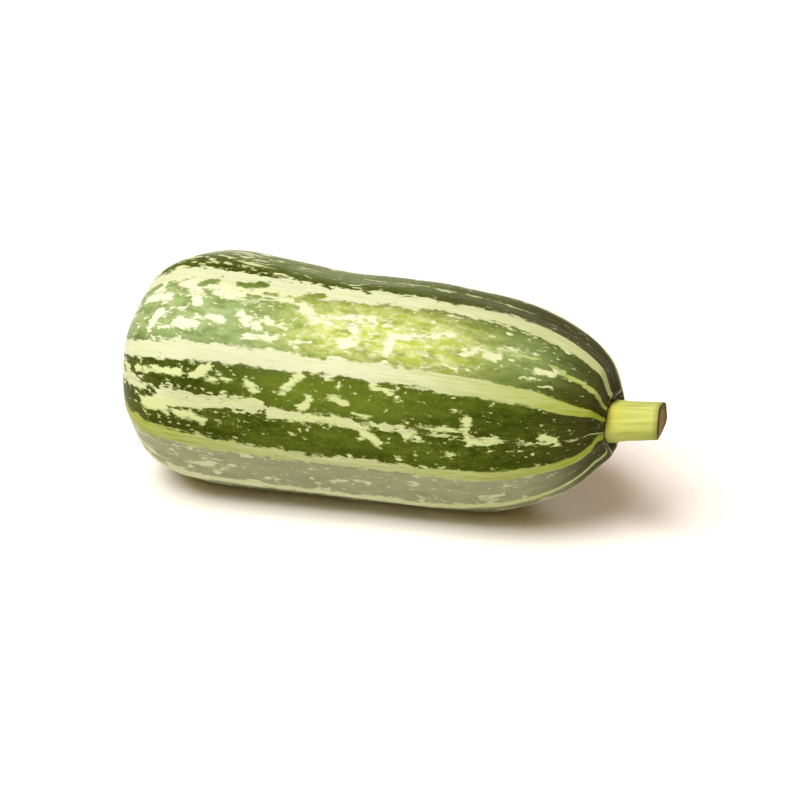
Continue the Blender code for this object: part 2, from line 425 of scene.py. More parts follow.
class MarrowFruitSizes(bpy.types.PropertyGroup):
    """Sizes of the fruit."""

    length: size("Length", "Length of the fruit between its poles", 248.5 * MM)
    blossom_radius: size("Blossom Radius", "Radius near the blossom end", 59.5 * MM)
    middle_radius: size("Middle Radius", "Radius midway", 56 * MM)
    shoulder_radius: size("Shoulder Radius", "Radius at the shoulder below the stalk", 52 * MM)
    bow: sway("Bow", "How far the fruit bows to the side", -7 * MM)
    wave: sway("Wave", "How far the fruit bends one way and back", -17 * MM)
    rise: size("Stalk End Rise", "How far the stalk end lifts off the surface", 15 * MM)
    crest: size("Rib Crest", "Height of the low crest along each rib", 0.5 * MM)
    unevenness: size("Unevenness", "Height of the soft lumps in the skin", 0.22 * MM)
    furrows: size("Furrows", "Depth of the fine furrows round the stalk", 0.16 * MM)
    dip_at_blossom: number("Dip at Blossom", "Dip between ribs, as a share of the radius", 0.018)
    dip_at_stalk: number("Dip at Stalk", "Dip between ribs, as a share of the radius", 0.050)
    twist: number("Twist", "Turn of the ribs from end to end, in degrees", -5)


class MarrowStalkSizes(bpy.types.PropertyGroup):
    """Sizes of the stalk."""

    length: size("Length", "Length of the stalk along X", 23.8 * MM)
    base_radius: size("Base Radius", "Radius where it meets the fruit", 10.0 * MM)
    waist_radius: size("Waist Radius", "Radius midway", 9.1 * MM)
    tip_radius: size("Tip Radius", "Radius at the cut", 8.9 * MM)
    ridge: size("Ridge", "Height of the fine lengthwise ridges", 0.12 * MM)
    climb: number("Climb", "How steeply it rises, in degrees", 8.7)
    swing: number("Swing", "How far it turns aside, in degrees", 3)


class MarrowSkinColours(bpy.types.PropertyGroup):
    """Colours of the skin."""

    deep: colour("Deep Green", "Darkest green between the stripes", (0.029, 0.042, 0.0015))
    fresh: colour("Fresh Green", "Lighter green between the stripes", (0.15, 0.21, 0.022))
    # Next two: the yellow-green of the upper side with a painted highlight from the light above, and
    # its palest part
    yellow_and_highlight: colour("Sunny Green", "Yellow-green patch on the upper side", (0.355, 0.45, 0.065))
    paler_yellow_and_highlight: colour("Faded Green", "Palest part of that patch", (0.52, 0.58, 0.195))
    # Painted sheen: the reflection of the light above on the green
    painted_sheen: colour("Haze", "Milky green by the blossom end", (0.25, 0.35, 0.13))
    # Grey underside: partly waxy skin, partly a painted reflection of the pale floor
    bloom_and_floor_reflection: colour("Bloom", "Greyish bloom on the underside", (0.335, 0.362, 0.225))
    # Flecks in that grey underside and the paler mottle of the sheen, a paler tone of the painted
    # reflections
    frost_and_reflection: colour("Frost", "Flecks in the bloom", (0.50, 0.52, 0.35))
    # The darkest green towards the stalk, used also for painted shade on the far shoulder and in the
    # seam at the stalk's foot
    seam: colour("Seam", "Dark skin round the stalk", (0.024, 0.025, 0.0015))
    cream: colour("Cream", "Palest stripe colour", (0.55, 0.59, 0.38))
    olive: colour("Olive", "Stripe colour where it yellows", (0.24, 0.295, 0.013))
    fleck: colour("Fleck", "Colour of the flecks", (0.515, 0.58, 0.28))
    # Flecks whitened by the painted highlight and the painted sheen
    highlit_fleck: colour("Washed Fleck", "Flecks on the milky and the sunny green", (0.68, 0.70, 0.53))
    scar: colour("Scar", "Dry scar at the blossom end", (0.17, 0.125, 0.045))


class MarrowStalkColours(bpy.types.PropertyGroup):
    """Colours of the stalk."""

    pale: colour("Pale", "Lightest flesh of the stalk", (0.485, 0.525, 0.145))
    green: colour("Green", "Green streaks along the stalk", (0.22, 0.28, 0.025))
    ripe: colour("Ripe", "Yellower flesh by the foot", (0.54, 0.52, 0.07))
    rim: colour("Rim", "Dried rim of the cut", (0.075, 0.05, 0.004))
    pith: colour("Pith", "Middle of the cut", (0.22, 0.155, 0.018))


class MarrowStage(bpy.types.PropertyGroup):
    """Floor and light."""

    floor: colour("Floor", "Colour of the floor", (0.94, 0.92, 0.88))
    key_power: lamp_power("Key Light", "Soft light from the front left, above", 78)
    wash_power: lamp_power("Wash Light", "Light on the floor behind", 18)
    sky: colour("Sky", "Light from above", (0.25, 0.118, 0.022))
    horizon: colour("Horizon", "Light all round at the floor's edge", (1.0, 0.99, 0.975))


def blend(start, end, at):
    """0 before start, 1 after end, and a smooth step between them."""
    share = np.clip((at - start) / (end - start), 0, 1)
    return share * share * (3 - 2 * share)


def end_round(share, squareness):
    """How far a round end has opened: 0 at its pole, 1 where share reaches 1."""
    inward = 1 - np.clip(share, 0, 1)
    return (1 - inward**squareness) ** (1 / squareness)


def end_share(opened, squareness):
    """The other way round: the share of a round end at which it has opened this far."""
    return 1 - (1 - opened**squareness) ** (1 / squareness)


def trunk_radius(sizes, along):
    """Radius without the round ends."""
    waist = (sizes.middle_radius - sizes.blossom_radius) * blend(*TO_WAIST, along)
    shoulder = (sizes.shoulder_radius - sizes.middle_radius) * blend(*TO_SHOULDER, along)
    return sizes.blossom_radius + waist + shoulder


def fruit_radius(sizes, along):
    """Radius of the fruit with its round ends."""
    blossom = end_round(along / BLOSSOM_END, BLOSSOM_SQUARENESS)
    stalk = end_round((1 - along) / STALK_END, STALK_SQUARENESS)
    return trunk_radius(sizes, along) * blossom * stalk


def fruit_centre(sizes, along):
    """Middle of each cross-section: the underside is level until the stalk end rises."""
    from_middle = 2 * along - 1
    bow = sizes.bow * (from_middle**2 - BOW_CROSSING)
    wave = sizes.wave * (from_middle**3 - from_middle)
    rise = sizes.rise * np.maximum(from_middle, 0) ** RISE_POWER
    drop = DIMPLE_DROP * blend(DROP_START, 1, along)
    height = trunk_radius(sizes, along) + rise - drop - PRESSED_HEIGHT
    return np.stack([sizes.length * (along - 0.5), bow + wave, height], axis=-1)


def rib_reach(angle):
    """Degrees past the last rib and short of the next, for angles on the untwisted fruit."""
    past = np.min([(angle - rib) % 360 for rib in RIB_ANGLES], axis=0)
    gaps = [(rib - angle) % 360 for rib in RIB_ANGLES]
    short = np.min([np.where(gap == 0, 360, gap) for gap in gaps], axis=0)
    return past, short


def rib_relief(sizes, angle, along):
    """Share of the radius that the ribs' crests add and the dips between them take."""
    past, short = rib_reach(angle)
    trough = (1 - np.cos(2 * np.pi * past / (past + short))) / 2
    crest = np.exp(-((np.minimum(past, short) / CREST_WIDTH) ** 2)) * sizes.crest
    dip = sizes.dip_at_blossom + (sizes.dip_at_stalk - sizes.dip_at_blossom) * along
    return crest / sizes.middle_radius - dip * trough


def scar_rings(sizes):
    """Along, centre, radius and rib strength of the rings over the blossom's scar."""
    share = np.arange(1, SCAR_RINGS + 1) / SCAR_RINGS
    radius = SCAR_REACH * share
    along = BLOSSOM_END * end_share(radius / sizes.blossom_radius, BLOSSOM_SQUARENESS)
    centre = fruit_centre(sizes, along)
    centre[:, 0] += SCAR_DEPTH * np.exp(-((radius / SCAR_RADIUS) ** 4))
    return along, centre, radius, share


def body_rings(sizes):
    """The same of the rings from the scar to the dimple's rim."""
    scar = end_share(SCAR_REACH / sizes.blossom_radius, BLOSSOM_SQUARENESS)
    rim = end_share(RIM_RADIUS / sizes.shoulder_radius, STALK_SQUARENESS)
    first = math.acos(1 - 2 * BLOSSOM_END * scar)
    last = math.acos(2 * STALK_END * rim - 1)
    share = np.arange(1, BODY_RINGS + 1) / BODY_RINGS
    along = (1 - np.cos(first + (last - first) * share)) / 2
    return along, fruit_centre(sizes, along), fruit_radius(sizes, along), np.ones(BODY_RINGS)


def dimple_rings(sizes, rim):
    """The same of the rings from the dimple's rim down to the seat of the stalk."""
    down = np.arange(1, DIMPLE_RINGS + 1) / DIMPLE_RINGS
    along = np.full(DIMPLE_RINGS, rim)
    centre = fruit_centre(sizes, along)
    centre[:, 0] += RIM_ROLL * np.sin(np.pi * down) - DIMPLE_DEPTH * blend(0, 1, down)
    radius = RIM_RADIUS + (SEAT_RADIUS - RIM_RADIUS) * down
    return along, centre, radius, 1 - down


def fruit_rings(sizes):
    """All rings of the fruit from the blossom's scar to the stalk's seat."""
    body = body_rings(sizes)
    dimple = dimple_rings(sizes, body[0][-1])
    seat = (dimple[0][-1:], dimple[1][-1:], np.array([SEAT_RADIUS / 2]), np.zeros(1))
    parts = (scar_rings(sizes), body, dimple, seat)
    return [np.concatenate([part[item] for part in parts]) for item in range(4)]


def profile_length(centre, radius):
    """Distance of each ring from the blossom's pole, measured over the skin, in mm."""
    steps = np.hypot(np.diff(centre[:, 0], prepend=centre[0, 0]), np.diff(radius, prepend=0))
    return np.cumsum(steps) / MM


def around(reach, angle, ahead=0):
    """Points this far from the line of X, at these angles, and this far ahead along it."""
    turn = np.radians(angle)
    return np.stack([ahead + 0 * turn, -reach * np.cos(turn), reach * np.sin(turn)], axis=-1)


def soft_waves(flow, shortest, longest, count, seed):
    """A smooth random field of about -1 to 1 over the tube."""
    draw = np.random.default_rng(seed)
    field = np.zeros(flow.shape[:-1])
    for _ in range(count):
        way = draw.normal(size=3)
        way *= 2 * np.pi / draw.uniform(shortest, longest) / np.linalg.norm(way)
        field += np.sin(flow @ way + draw.uniform(0, 2 * np.pi))
    return field / math.sqrt(count)


def angle_apart(angle, middle):
    """Degrees between an angle and a stripe's middle, the short way round."""
    return np.abs((angle - middle + 180) % 360 - 180)


def stripe_fields(angle, along):
    """How far inside the nearest stripe each point lies in mm, its edge's raggedness and its tone."""
    cover = np.full(angle.shape, FAR_OUTSIDE)
    ragged = np.zeros(angle.shape)
    tone = np.zeros(angle.shape)
    for middles, widths, raggedness, tones in STRIPES:
        middle = np.interp(along, WINDING_PLACES, middles) if isinstance(middles, tuple) else middles
        distance = np.radians(angle_apart(angle, middle)) * TUBE_RADIUS
        inside = np.interp(along, WIDTH_PLACES, widths) - distance
        nearer = inside > cover
        cover = np.where(nearer, inside, cover)
        ragged = np.where(nearer, raggedness, ragged)
        tone = np.where(nearer, np.interp(along, TONE_PLACES, tones), tone)
    return cover, ragged * (1 - NEATER_SHARE * blend(*NEATER_ALONG, along)), tone


def stroke_cover(angle, length, strokes, along_of_rings, length_of_rings):
    """How far inside the nearest stroke each point lies, in mm, and below 0 outside them all."""
    cover = np.full(angle.shape, FAR_OUTSIDE)
    for first, first_angle, last, last_angle, half_width in strokes:
        start, end = np.interp((first, last), along_of_rings, length_of_rings)
        across = np.radians((angle - first_angle + 180) % 360 - 180) * TUBE_RADIUS
        slope = np.radians(last_angle - first_angle) * TUBE_RADIUS
        reach = (end - start) ** 2 + slope**2
        share = np.clip(((length - start) * (end - start) + across * slope) / max(reach, 1e-6), 0, 1)
        distance = np.hypot(length - start - share * (end - start), across - share * slope)
        cover = np.maximum(cover, half_width - distance)
    return cover


def patches(angle, along, rows):
    """The sum of soft patches of skin: each has its strength in its middle and 0 well outside it."""
    total = np.zeros(angle.shape)
    for strength, middle, spread, place, reach, squareness in rows:
        across = (angle_apart(angle, middle) / spread) ** squareness
        lengthwise = np.abs((along - place) / reach) ** squareness
        total += strength * np.exp(-across - lengthwise)
    return total


def skin_fields(angle, along, length):
    """The numbers that the skin's material reads at each point."""
    cover, ragged, tone = stripe_fields(angle, along)
    drawn = patches(angle, along, DRAWN_PATCH)
    density = np.interp(along, FLECK_PLACES, FLECK_DENSITY) + patches(angle, along, THICKER_FLECKS)
    density -= THINNED_BY_BLOTCHES * drawn * (1 - along)
    rings = (along[:, 0], length)
    # The grey underside with its painted reflection of the floor, and the painted shade on the far
    # shoulder
    bloom_and_floor_reflection = blend(*BLOOM_AND_REFLECTION_EDGES, angle_apart(angle, BLOOM_AND_REFLECTION_MIDDLE))
    shoulder = blend(*SHOULDER_SHADE_EDGES[0], angle) * blend(*SHOULDER_SHADE_EDGES[1], angle)
    scar = 1 - blend(*SCAR_EDGE, length)
    return {
        "stripe_cover": cover,
        "stripe_ragged": ragged,
        "stripe_tone": tone,
        "fleck_density": density,
        "drawn": drawn,
        "blotch_cover": stroke_cover(angle, length[:, None], BLOTCHES, *rings),
        "gap_cover": stroke_cover(angle, length[:, None], GAPS, *rings),
        "fresh": LEAST_LIGHTER_GREEN + patches(angle, along, LIGHTER_GREEN),
        # Yellow-green skin on the upper side, with a painted highlight
        "yellow_and_highlight": patches(angle, along, YELLOW_AND_HIGHLIGHT_PATCH),
        # Painted sheen, the reflection of the light above
        "painted_sheen": patches(angle, along, SHEEN_PATCHES),
        # Grey underside: waxy skin with a painted reflection of the floor
        "bloom_and_floor_reflection": bloom_and_floor_reflection * (1 - BLOOM_AND_REFLECTION_THINNED * blend(*BLOOM_AND_REFLECTION_THINS, along)),
        "near_stalk": blend(*NEAR_STALK, along),
        "scar": np.broadcast_to(scar[:, None], angle.shape),
        # Painted shade on the far shoulder, which faces away from the light
        "shoulder": shoulder * blend(*SHOULDER_SHADE_ALONG, along),
        # Painted shade in the seam at the stalk's foot
        "seam": blend(*SEAM_SHADE_ALONG, along),
    }


def rim_lean(radius, angle, along):
    """How far the skin by the stalk is set back towards the blossom, on one side of the rim."""
    side = blend(*RIM_LEAN_COSINES, np.cos(np.radians(angle - RIM_LEAN_TURN)))
    return RIM_LEAN * side * blend(RIM_LEAN_START, RIM_RADIUS, radius) * (along > 0.5)


def grid_faces(rings, sides):
    """Quads between rings of points, and a fan to a pole at each end."""
    ring = np.arange(rings - 1)[:, None] * sides
    side = np.arange(sides)[None, :]
    after = (side + 1) % sides
    quads = np.stack([ring + side, ring + after, ring + sides + after, ring + sides + side], axis=-1)
    first = rings * sides
    last = (rings - 1) * sides
    start = [(first, int(b), int(a)) for a, b in zip(side[0], after[0])]
    end = [(first + 1, last + int(a), last + int(b)) for a, b in zip(side[0], after[0])]
    return [tuple(quad) for quad in quads.reshape(-1, 4).tolist()] + start + end


def tube_map(mesh, rings, sides, heights):
    """A map for baking: round the tube across, along it upwards, with one seam underneath."""
    seam = round(sides * 0.75)
    layer = mesh.uv_layers.new(name="OFBake")
    corners = np.empty(len(mesh.loops), int)
    mesh.loops.foreach_get("vertex_index", corners)
    low = heights.min()
    height = (heights - low) / (heights.max() - low)
    start = np.empty(len(mesh.polygons), int)
    total = np.empty(len(mesh.polygons), int)
    mesh.polygons.foreach_get("loop_start", start)
    mesh.polygons.foreach_get("loop_total", total)
    pole = corners >= rings * sides
    across = ((corners % sides - seam) % sides).astype(float)
    face = np.repeat(np.arange(len(start)), total)
    most = np.maximum.reduceat(np.where(pole, -1, across), start)
    least = np.minimum.reduceat(np.where(pole, 2 * sides, across), start)
    wraps = (most - least > sides / 2)[face]
    across = np.where(wraps & (across < sides / 2), across + sides, across)
    lowest = np.where(most - least > sides / 2, most, least)[face]
    across = np.where(pole, lowest + 0.5, across)
    up = np.where(corners == rings * sides + 1, 1.0, 0.0)
    inside = np.minimum(corners, rings * sides - 1)
    up = np.where(pole, up, height[inside // sides])
    spots = np.stack([across / sides, up], axis=-1) * (1 - 2 * MAP_MARGIN) + MAP_MARGIN
    layer.data.foreach_set("uv", spots.astype(np.float32).ravel())


def make_tube(name, points, poles, fields, heights):
    """A closed smooth mesh through rings of points, with its fields as point attributes."""
    rings, sides = points.shape[:2]
    corners = np.concatenate([points.reshape(-1, 3), np.array(poles)])
    mesh = bpy.data.meshes.new(name)
    mesh.from_pydata(corners.tolist(), [], grid_faces(rings, sides))
    mesh.validate()
    mesh.shade_smooth()
    for title, values in fields.items():
        vector = values.ndim == 3
        kind = "FLOAT_VECTOR" if vector else "FLOAT"
        attribute = mesh.attributes.new(title, kind, "POINT")
        ends = np.stack([values[0].mean(axis=0), values[-1].mean(axis=0)])
        shape = (-1, 3) if vector else (-1,)
        flat = np.concatenate([values.reshape(shape), ends]).astype(np.float32)
        attribute.data.foreach_set("vector" if vector else "value", flat.ravel())
    tube_map(mesh, rings, sides, heights)
    piece = bpy.data.objects.new(name, mesh)
    bpy.context.scene.collection.objects.link(piece)
    return piece


def fruit_shift(points):
    """The shift that brings the fruit's box over that of its solid, in X and Y."""
    low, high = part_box("fruit")
    own_middle = (points.min(axis=(0, 1)) + points.max(axis=(0, 1))) / 2
    shift = (np.array(low) + np.array(high)) / 2 - own_middle
    shift[2] = 0
    return shift


def fruit_points(sizes):
    """Points of the fruit, its poles, its fields and the height of each ring on the map."""
    along, centre, radius, strength = fruit_rings(sizes)
    angle = np.broadcast_to(np.arange(FRUIT_SIDES) * 360 / FRUIT_SIDES, (len(along), FRUIT_SIDES))
    column = along[:, None]
    straight = angle - sizes.twist * (column - 0.5)
    length = profile_length(centre, radius)
    flow = around(TUBE_RADIUS, straight, length[:, None])
    relief = rib_relief(sizes, straight, column) * strength[:, None]
    reach = radius[:, None] * (1 + relief)
    reach += sizes.unevenness * soft_waves(flow, *LUMPS) * np.minimum(radius / LUMPS_FADE, 1)[:, None]
    wander = np.radians(straight + FURROWS_WANDER * soft_waves(flow, *WANDERING))
    furrow = sum(share * np.cos(wander * count + start) for share, count, start in FURROWS)
    reach += sizes.furrows * furrow * (blend(*FURROWS_ALONG, column) * strength[:, None])
    points = around(reach, angle) + centre[:, None]
    points[..., 0] -= strength[:, None] * rim_lean(radius[:, None], angle, column)
    shift = fruit_shift(points)
    points += shift
    points[..., 2] = np.maximum(points[..., 2], 0)
    scar = fruit_centre(sizes, np.zeros(1))[0] + (SCAR_DEPTH, 0, 0) + shift
    seat = centre[-1] + shift
    fields = skin_fields(straight, np.broadcast_to(column, angle.shape), length)
    fields["flow"] = flow
    return points, (scar, seat), fields, length, seat


def stalk_radius(sizes, along, angle):
    """Radius of the stalk: flared where it meets the fruit, with rounded angles and fine ridges."""
    flare = (sizes.base_radius - sizes.waist_radius) * (1 - blend(0, FLARE_END, along))
    tip = (sizes.tip_radius - sizes.waist_radius) * blend(TIP_START, 1, along)
    lobe = np.cos(np.radians(STALK_ANGLES * angle + STALK_ANGLE_TURN))
    return (sizes.waist_radius + flare + tip) * (1 + STALK_ANGLE_DEPTH * lobe)


def cut_offset(sizes, height):
    """How far the cut end stands forward at a height above its middle: least at its underside."""
    low = np.maximum(-height / sizes.tip_radius, 0)
    return CUT_SLANT * height - CUT_UNDERSIDE * low**2


def stalk_ring_table(sizes):
    """Along, share of the full thickness and step forward of each ring, foot to cut face."""
    side = np.linspace(0, 1, STALK_RINGS)[1:]
    edge = CUT_EDGE / sizes.tip_radius
    turn = np.linspace(0, np.pi / 2, CUT_EDGE_RINGS + 1)[1:]
    inner = np.linspace(1 - edge, CUT_INNERMOST, CUT_FACE_RINGS + 1)[1:]
    dish = CUT_STEP - PITH_DEPTH * blend(1 - edge, PITH_SHARE, inner)
    dish -= CUT_GROOVE * np.exp(-(((inner - CUT_GROOVE_PLACE) / CUT_GROOVE_WIDTH) ** 2))
    along = np.concatenate([[0, 0], side, np.ones(CUT_EDGE_RINGS + CUT_FACE_RINGS)])
    share = np.concatenate([[0.5, 1], np.ones(len(side)), 1 - edge * (1 - np.cos(turn)), inner])
    forward = np.concatenate([np.zeros(2 + len(side)), CUT_STEP * np.sin(turn), dish])
    return along, share, forward


def stalk_points(sizes, seat):
    """Points of the stalk, its two poles, its fields and the height of each ring on the map."""
    along, share, forward = stalk_ring_table(sizes)
    foot = seat + (SEAT_GAP, 0, 0)
    angle = np.broadcast_to(np.arange(STALK_SIDES) * 360 / STALK_SIDES, (len(along), STALK_SIDES))
    column = along[:, None]
    reach = sizes.length * along
    slopes = (1, math.tan(math.radians(sizes.swing)), math.tan(math.radians(sizes.climb)))
    middle = foot + reach[:, None] * np.array(slopes)
    radius = stalk_radius(sizes, column, angle)
    short_tube = around(STALK_TUBE_RADIUS, angle, STALK_RIDGE_LENGTH * column) * (1, -1, 1)
    radius = (radius + sizes.ridge * soft_waves(short_tube, *STALK_RIDGES)) * share[:, None]
    points = around(radius, angle) + middle[:, None]
    height = points[..., 2] - middle[:, None, 2]
    points[..., 0] += forward[:, None] + column**2 * cut_offset(sizes, height)
    pith = middle[-1] + (CUT_STEP - PITH_DEPTH, 0, 0)
    outward = sizes.tip_radius * np.diff(share, prepend=0)
    length = np.cumsum(np.hypot(np.diff(reach + forward, prepend=0), outward))
    fields = {
        "flow": around(STALK_TUBE_RADIUS, angle, column * STALK_TUBE_LENGTH),
        "cut": np.broadcast_to((column >= 1) * (1 - share[:, None]) / CUT_MIDDLE, angle.shape),
        "on_cut": np.broadcast_to(np.where(forward > 0, 1.0, 0.0)[:, None], angle.shape),
        "near_tip": np.broadcast_to(blend(NEAR_TIP, 1, column), angle.shape),
        "ripe": patches(angle, column, RIPE_PATCH),
        "under_tip": patches(angle, column, UNDER_TIP_PATCH),
    }
    return points, (foot, pith), fields, length


class NodeBook:
    """Adds nodes to a material or a world and joins them."""

    def __init__(self, owner):
        owner.use_nodes = True
        self.owner = owner
        self.tree = owner.node_tree

    def feed(self, socket, value):
        """Joins a socket to another, or sets its value."""
        if isinstance(value, bpy.types.NodeSocket):
            self.tree.links.new(value, socket)
        elif socket.type == "RGBA":
            socket.default_value = (*value, 1)
        else:
            socket.default_value = value

    def work_out(self, operation, first, second, clamp=False):
        """One step of arithmetic."""
        node = self.tree.nodes.new("ShaderNodeMath")
        node.operation = operation
        node.use_clamp = clamp
        self.feed(node.inputs[0], first)
        self.feed(node.inputs[1], second)
        return node.outputs[0]

    def add(self, first, second, clamp=False):
        """The sum of two values."""
        return self.work_out("ADD", first, second, clamp)

    def less(self, first, second):
        """The first value less the second."""
        return self.work_out("SUBTRACT", first, second)

    def times(self, first, second, clamp=False):
        """The product of two values."""
        return self.work_out("MULTIPLY", first, second, clamp)

    def larger(self, first, second):
        """The larger of two values."""
        return self.work_out("MAXIMUM", first, second)

    def field(self, name, output="Fac"):
        """One of the mesh's point attributes."""
        node = self.tree.nodes.new("ShaderNodeAttribute")
        node.attribute_name = name
        return node.outputs[output]

    def marks(self, kind):
        """Random marks from 0 to 1, drawn out along the piece."""
        length, width, detail, roughness, shift = kind
        scale = self.tree.nodes.new("ShaderNodeVectorMath")
        scale.operation = "MULTIPLY_ADD"
        self.feed(scale.inputs[0], self.field("flow", "Vector"))
        scale.inputs[1].default_value = (1 / length, 1 / width, 1 / width)
        scale.inputs[2].default_value = [shift * share for share in SHIFT_SHARES]
        noise = self.tree.nodes.new("ShaderNodeTexNoise")
        noise.inputs["Scale"].default_value = 1
        noise.inputs["Detail"].default_value = detail
        noise.inputs["Roughness"].default_value = roughness
        self.feed(noise.inputs["Vector"], scale.outputs[0])
        return noise.outputs["Fac"]

    def shades(self, kind):
        """The same marks from -0.5 to 0.5."""
        return self.less(self.marks(kind), 0.5)

    def edged_marks(self, kind):
        """The same marks with an edge."""
        marks, edge = kind
        return self.step(self.marks(marks), *edge)

    def step(self, value, low, high, bottom=0.0, top=1.0, kind="SMOOTHSTEP"):
        """A step from bottom to top as the value goes from low to high."""
        node = self.tree.nodes.new("ShaderNodeMapRange")
        node.interpolation_type = kind
        self.feed(node.inputs["Value"], value)
        self.feed(node.inputs["From Min"], low)
        self.feed(node.inputs["From Max"], high)
        self.feed(node.inputs["To Min"], bottom)
        self.feed(node.inputs["To Max"], top)
        return node.outputs["Result"]

    def mix(self, share, first, second):
        """Two colours mixed."""
        node = self.tree.nodes.new("ShaderNodeMix")
        node.data_type = "RGBA"
        self.feed(node.inputs["Factor"], share)
        self.feed(node.inputs[6], first)
        self.feed(node.inputs[7], second)
        return node.outputs[2]

    def finish(self, tint, surface, grain):
        """The colour, roughness, gloss and fine bump of the surface."""
        roughness, gloss, strength = surface
        shader = self.tree.nodes["Principled BSDF"]
        self.feed(shader.inputs["Base Color"], tint)
        shader.inputs["Roughness"].default_value = roughness
        shader.inputs["Specular IOR Level"].default_value = gloss
        node = self.tree.nodes.new("ShaderNodeBump")
        node.inputs["Strength"].default_value = strength
        node.inputs["Distance"].default_value = BUMP_HEIGHT
        self.feed(node.inputs["Height"], self.marks(grain))
        self.feed(shader.inputs["Normal"], node.outputs["Normal"])
        return self.owner


def torn_inside(book, cover, wander):
    """The distance inside a marking's torn edge, and 1 inside that edge and 0 outside it."""
    edge = book.add(cover, wander)
    return edge, book.step(edge, -EDGE_SOFTNESS, EDGE_SOFTNESS)


def flecks_of(book, kind, density):
    """1 inside flecks of one kind, more of them where the density is high."""
    marks, most, least = kind
    start = book.less(1 - least, book.times(density, most - least))
    return book.step(book.marks(marks), start, book.add(start, FLECK_SOFTNESS))


def skin_flecks(book, beside, blotch):
    """1 inside the flecks and the drawn blotches."""
    drawn = book.field("drawn")
    crowd = book.add(book.field("fleck_density"), book.times(beside, MORE_BESIDE_STRIPES))
    sparse = book.less(crowd, book.times(drawn, LARGE_FLECKS_CLEARED))
    fewer = book.less(crowd, book.times(drawn, MIDDLE_FLECKS_CLEARED))
    large = flecks_of(book, LARGE_FLECKS, sparse)
    middle = flecks_of(book, MIDDLE_FLECKS, fewer)
    small = book.times(flecks_of(book, SMALL_FLECKS, crowd), SMALL_FLECKS_SHOW)
    return book.larger(book.larger(book.larger(large, middle), small), blotch)


def skin_green(book, colours, yellow_and_highlight, painted_sheen, bloom_and_floor_reflection):
    """The green between the stripes: cloudy, with a painted sheen by the blossom, yellow-green with a
    painted highlight above, and greyish below, partly waxy and partly a painted reflection of the
    floor.
    """
    clouds = book.shades(CLOUDS)
    broad = book.times(book.shades(BROAD_SHADES), BROAD_SHARE)
    uneven = book.add(broad, book.times(clouds, CLOUD_SHARE))
    green = book.mix(book.add(book.field("fresh"), uneven, clamp=True), colours.deep, colours.fresh)
    patchy = book.edged_marks(PATCHES)
    # Painted sheen, the reflection of the light above, in patches and mottled towards a paler tone
    mottled_sheen = book.mix(book.times(clouds, SHEEN_CLOUDS, clamp=True), colours.painted_sheen, colours.frost_and_reflection)
    green = book.mix(book.times(painted_sheen, patchy), green, mottled_sheen)
    # The yellow-green patch above, with a painted highlight that is paler in marks
    bright = book.mix(book.edged_marks(PALER_PATCH_MARKS), colours.yellow_and_highlight, colours.paler_yellow_and_highlight)
    green = book.mix(book.times(yellow_and_highlight, patchy), green, bright)
    # Painted highlight specks, strongest in the middle of that patch
    highlight_specks = book.times(book.edged_marks(HIGHLIGHT_SPECKS), book.times(yellow_and_highlight, yellow_and_highlight))
    green = book.mix(highlight_specks, green, colours.highlit_fleck)
    # The grey underside: waxy skin with a painted reflection of the pale floor
    veil = book.add(book.times(uneven, BLOOM_AND_REFLECTION_CLOUDS), BLOOM_AND_REFLECTION_SHARE)
    green = book.mix(book.times(bloom_and_floor_reflection, veil, clamp=True), green, colours.bloom_and_floor_reflection)
    return book.mix(book.edged_marks(STIPPLE), green, colours.yellow_and_highlight)


def stalk_end_green(book, colours, green):
    """That green darkened towards the stalk, with painted shade on the far shoulder that faces away
    from the light, and faint dull streaks.
    """
    near_stalk = book.field("near_stalk")
    # Painted shade on the far shoulder, which faces away from the light
    shoulder = book.times(book.field("shoulder"), PAINTED_SHOULDER_SHADE)
    dark = book.larger(book.times(near_stalk, DARK_NEAR_STALK), shoulder)
    dull = book.times(near_stalk, book.edged_marks(STREAKS))
    return book.mix(dull, book.mix(dark, green, colours.seam), colours.bloom_and_floor_reflection)


